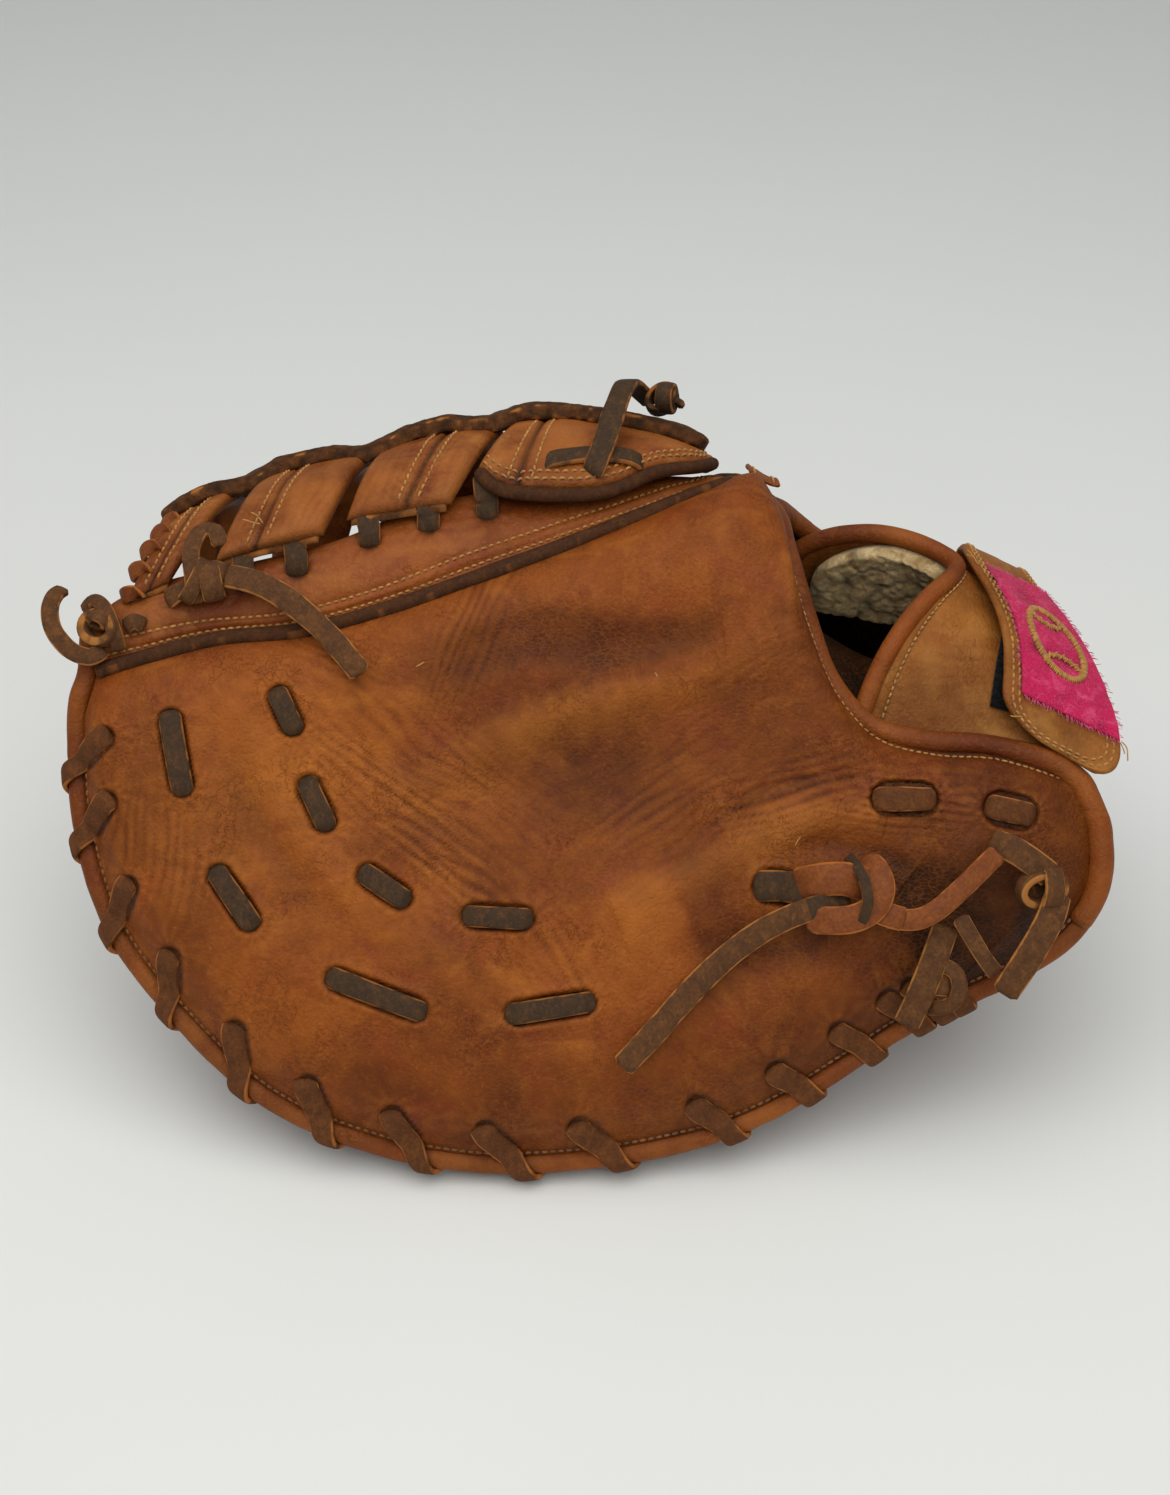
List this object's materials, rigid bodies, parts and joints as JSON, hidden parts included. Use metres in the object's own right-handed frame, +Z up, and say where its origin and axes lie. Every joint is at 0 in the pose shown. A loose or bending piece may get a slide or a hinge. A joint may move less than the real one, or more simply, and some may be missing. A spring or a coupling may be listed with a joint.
{
  "type": "first baseman's mitt",
  "caption": "Laced leather mitt with a long open web, padded rim, wrist band and strap, standing on its rims; the halves fold about the spine.",
  "frame": {"origin": "on the floor, under the middle of the bounding box", "axes": "+X from the finger tips to the wrist, +Y from the finger half to the thumb half, +Z up"},
  "size_m": [0.3304, 0.2407, 0.1899],
  "materials": {
    "shell_leather": "worn oiled leather",
    "tan_leather": "smooth tan leather",
    "dark_leather": "dark binding leather",
    "lace_leather": "dark rawhide lace",
    "lining_leather": "soft lining",
    "felt_pad": "felt",
    "fleece": "wool fleece",
    "hook_and_loop": "black hook and loop",
    "patch_fabric": "frayed woven patch",
    "thread": "embroidery thread"
  },
  "bodies": {
    "finger_half": {"crotch_lace": "lace_leather", "finger_back_shell": "shell_leather", "finger_band_binding": "dark_leather", "finger_heel_pad": "felt_pad", "finger_pad": "felt_pad", "finger_pad_lace": "lace_leather", "finger_palm": "shell_leather", "finger_rim_lace": "lace_leather", "finger_rim_welt": "shell_leather", "finger_stall_liner": "lining_leather", "finger_web_band": "shell_leather", "finger_window_piping": "shell_leather", "heel_knot": "lace_leather", "heel_knot_tail_long": "lace_leather", "heel_knot_tail_short": "lace_leather", "heel_lace": "lace_leather", "heel_lace_knot": "lace_leather", "palm_crease": "shell_leather", "pinky_loop": "lining_leather", "spine_seam_strip": "shell_leather", "strap_root": "tan_leather", "tip_knot": "lace_leather", "web_bar_a": "shell_leather", "web_bar_b": "shell_leather", "web_bar_c": "shell_leather", "web_base": "shell_leather", "web_base_binding": "dark_leather", "web_edge_lace": "lace_leather", "web_knot": "lace_leather", "web_knot_tail": "lace_leather", "web_lace_finger": "lace_leather", "web_spine_strap": "dark_leather", "wrist_band": "tan_leather", "wrist_band_fleece": "fleece", "wrist_band_piping": "shell_leather", "wrist_loop_pad": "hook_and_loop"},
    "thumb_half": {"thumb_back_shell": "shell_leather", "thumb_band_binding": "dark_leather", "thumb_heel_pad": "felt_pad", "thumb_loop": "lining_leather", "thumb_pad": "felt_pad", "thumb_pad_lace": "lace_leather", "thumb_palm": "shell_leather", "thumb_rim_lace": "lace_leather", "thumb_rim_welt": "shell_leather", "thumb_stall_liner": "lining_leather", "thumb_web_band": "shell_leather", "thumb_window_piping": "shell_leather", "web_lace_thumb": "lace_leather"},
    "strap": {"strap_emblem": "thread", "strap_flap": "tan_leather", "strap_hook_pad": "hook_and_loop", "strap_patch": "patch_fabric"}
  },
  "joints": [
    {"name": "mitt_fold", "type": "hinge", "parent": "finger_half", "child": "thumb_half", "pos_m": [0.05237, 0.03811, 0.15645], "axis": [1, 0, 0], "range_deg": [-30, 25], "deforming": ["web_bar_a", "web_bar_b", "web_bar_c", "web_base", "web_base_binding", "web_spine_strap", "web_edge_lace", "crotch_lace", "spine_seam_strip", "palm_crease", "wrist_band", "wrist_band_fleece", "wrist_band_piping", "strap_root"]},
    {"name": "strap_flap", "type": "hinge", "parent": "finger_half", "child": "strap", "pos_m": [0.13437, 0.04381, 0.12645], "axis": [-0.8724, -0.058, 0.4852], "range_deg": [0, 120]}
  ]
}
